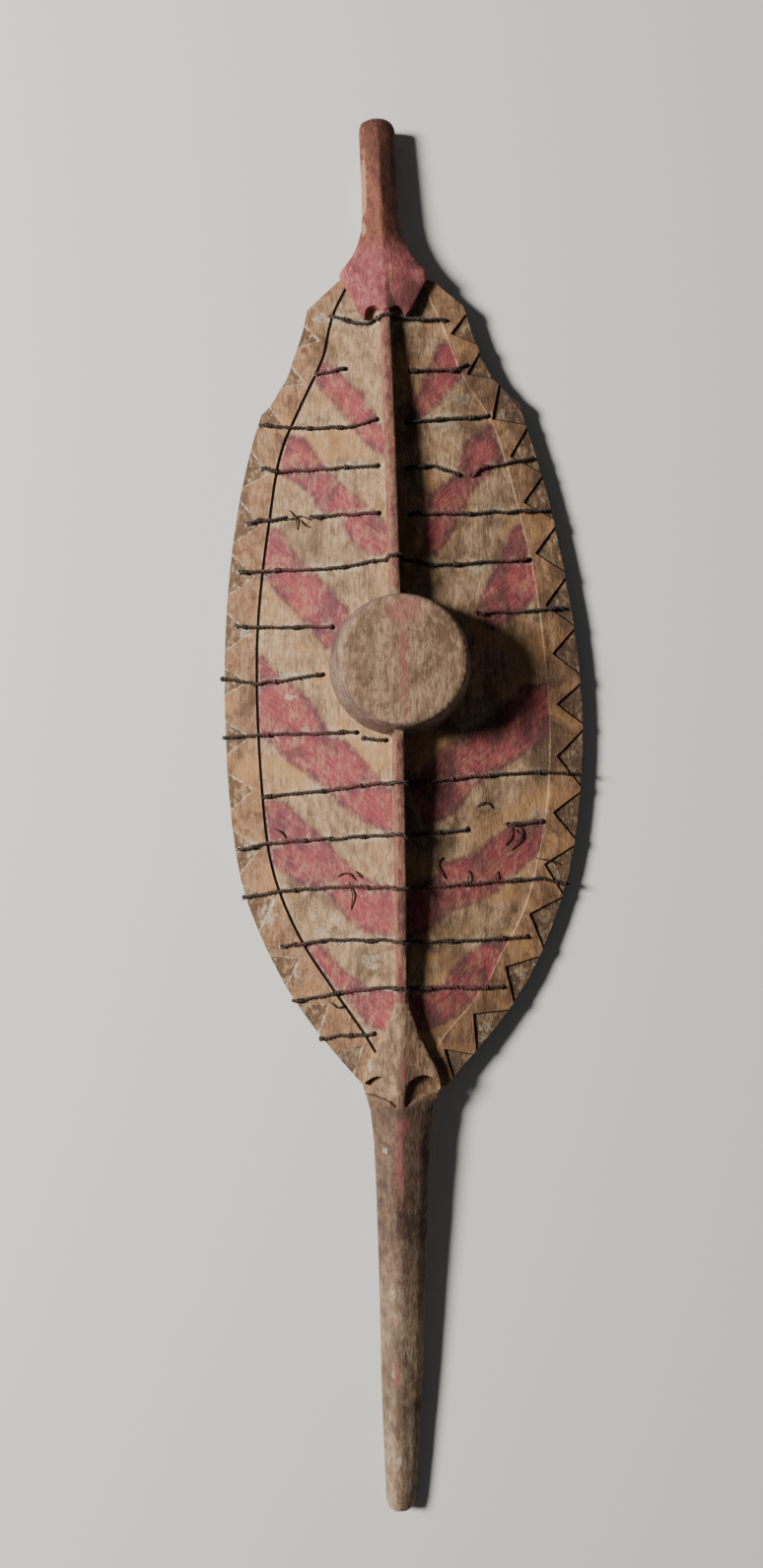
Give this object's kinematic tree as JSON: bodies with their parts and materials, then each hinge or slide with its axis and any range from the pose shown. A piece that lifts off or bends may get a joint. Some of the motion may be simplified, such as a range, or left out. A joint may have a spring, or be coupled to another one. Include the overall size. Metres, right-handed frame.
{
  "type": "wooden tribal shield",
  "caption": "Leaf-shaped carved shield with a tall keel, a drum boss over a hand hollow with a grip, a short prong, a long tapering handle and cord lashings stitched across it.",
  "frame": {"origin": "middle of the bounding box in plan, at its base, where the two tips rest", "axes": "+Y along the shield to the short prong, +X to the right of its face, +Z out of its face"},
  "size_m": [0.3826, 1.459, 0.102],
  "materials": {
    "carved_wood": "worn carved wood with faded red bands",
    "dark_fibre_cord": "matt twisted plant fibre"
  },
  "bodies": {
    "root": {"lashing_01": "dark_fibre_cord", "lashing_02_left": "dark_fibre_cord", "lashing_02_right": "dark_fibre_cord", "lashing_03_left": "dark_fibre_cord", "lashing_03_right": "dark_fibre_cord", "lashing_04_left": "dark_fibre_cord", "lashing_04_middle": "dark_fibre_cord", "lashing_04_right": "dark_fibre_cord", "lashing_05_left": "dark_fibre_cord", "lashing_05_middle": "dark_fibre_cord", "lashing_05_right": "dark_fibre_cord", "lashing_06": "dark_fibre_cord", "lashing_07_left": "dark_fibre_cord", "lashing_07_right": "dark_fibre_cord", "lashing_08_left": "dark_fibre_cord", "lashing_09_left": "dark_fibre_cord", "lashing_09_middle": "dark_fibre_cord", "lashing_10": "dark_fibre_cord", "lashing_11": "dark_fibre_cord", "lashing_11_right": "dark_fibre_cord", "lashing_12": "dark_fibre_cord", "lashing_13": "dark_fibre_cord", "lashing_14": "dark_fibre_cord", "lashing_15_left": "dark_fibre_cord", "shield_body": "carved_wood"}
  },
  "joints": []
}
